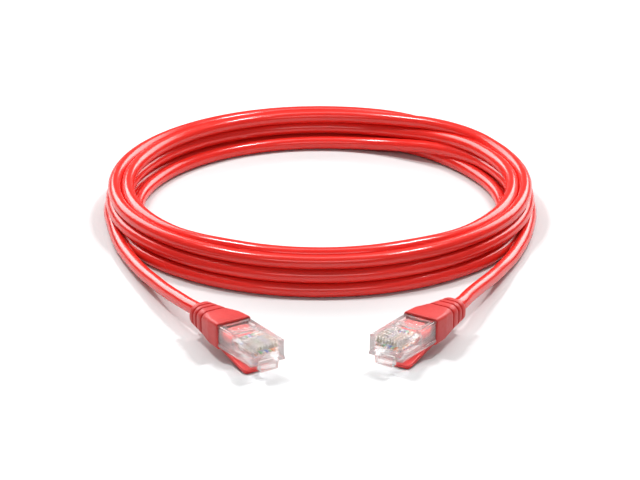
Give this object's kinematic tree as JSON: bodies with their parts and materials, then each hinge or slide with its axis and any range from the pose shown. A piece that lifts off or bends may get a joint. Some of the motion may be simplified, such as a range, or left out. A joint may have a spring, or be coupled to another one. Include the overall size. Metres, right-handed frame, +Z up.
{
  "type": "ethernet patch cable",
  "caption": "Coiled slim red network patch cord with a clear modular plug, gold contacts and a red snagless boot on each end.",
  "frame": {"origin": "on the surface under the middle of the box round the two plugs with their boots", "axes": "+X from the left plug to the right plug, +Y from the plugs to the coil behind them, +Z up"},
  "size_m": [0.1436, 0.2059, 0.0132],
  "materials": {
    "jacket": "smooth soft PVC jacket, semi-gloss, red",
    "boot": "moulded soft PVC, matte, red",
    "clear": "clear moulded polycarbonate",
    "contact": "gold plated phosphor bronze",
    "copper": "bare copper",
    "wire_white_orange": "extruded insulation, satin",
    "wire_orange": "extruded insulation, satin",
    "wire_white_green": "extruded insulation, satin",
    "wire_blue": "extruded insulation, satin",
    "wire_white_blue": "extruded insulation, satin",
    "wire_green": "extruded insulation, satin",
    "wire_white_brown": "extruded insulation, satin",
    "wire_brown": "extruded insulation, satin"
  },
  "bodies": {
    "lead": {"coil": "jacket", "tail_left": "jacket", "tail_right": "jacket", "boot_left": "boot", "plug_housing_left": "clear", "contact_blades_left": "contact", "load_bar_left": "clear", "strain_relief_bar_left": "clear", "jacket_end_left": "jacket", "copper_cores_left": "copper", "wire_white_orange_left": "wire_white_orange", "wire_orange_left": "wire_orange", "wire_white_green_left": "wire_white_green", "wire_blue_left": "wire_blue", "wire_white_blue_left": "wire_white_blue", "wire_green_left": "wire_green", "wire_white_brown_left": "wire_white_brown", "wire_brown_left": "wire_brown", "boot_right": "boot", "plug_housing_right": "clear", "contact_blades_right": "contact", "load_bar_right": "clear", "strain_relief_bar_right": "clear", "jacket_end_right": "jacket", "copper_cores_right": "copper", "wire_white_orange_right": "wire_white_orange", "wire_orange_right": "wire_orange", "wire_white_green_right": "wire_white_green", "wire_blue_right": "wire_blue", "wire_white_blue_right": "wire_white_blue", "wire_green_right": "wire_green", "wire_white_brown_right": "wire_white_brown", "wire_brown_right": "wire_brown"},
    "latch_left": {"latch_left": "clear"},
    "guard_left": {"latch_guard_left": "boot"},
    "latch_right": {"latch_right": "clear"},
    "guard_right": {"latch_guard_right": "boot"}
  },
  "joints": [
    {"name": "guard_left_press", "type": "hinge", "parent": "lead", "child": "guard_left", "pos_m": [-0.0284, -0.00059, 0.00337], "axis": [-0.8443, -0.5358, 0], "range_deg": [0, 8.5], "stiffness_Nm_per_rad": 0.0015},
    {"name": "latch_left_press", "type": "hinge", "parent": "lead", "child": "latch_left", "pos_m": [-0.01882, -0.01567, 0.00474], "axis": [0.8443, 0.5358, 0], "range_deg": [0, 7.2]},
    {"name": "guard_right_press", "type": "hinge", "parent": "lead", "child": "guard_right", "pos_m": [0.02798, 0.00266, 0.00337], "axis": [-0.832, 0.5548, 0], "range_deg": [0, 8.5], "stiffness_Nm_per_rad": 0.0015},
    {"name": "latch_right_press", "type": "hinge", "parent": "lead", "child": "latch_right", "pos_m": [0.01807, -0.0122, 0.00474], "axis": [0.832, -0.5548, 0], "range_deg": [0, 7.2]}
  ],
  "couplings": [
    {"joint": "latch_left_press", "follows": "guard_left_press", "ratio": 0.84},
    {"joint": "latch_right_press", "follows": "guard_right_press", "ratio": 0.84}
  ]
}
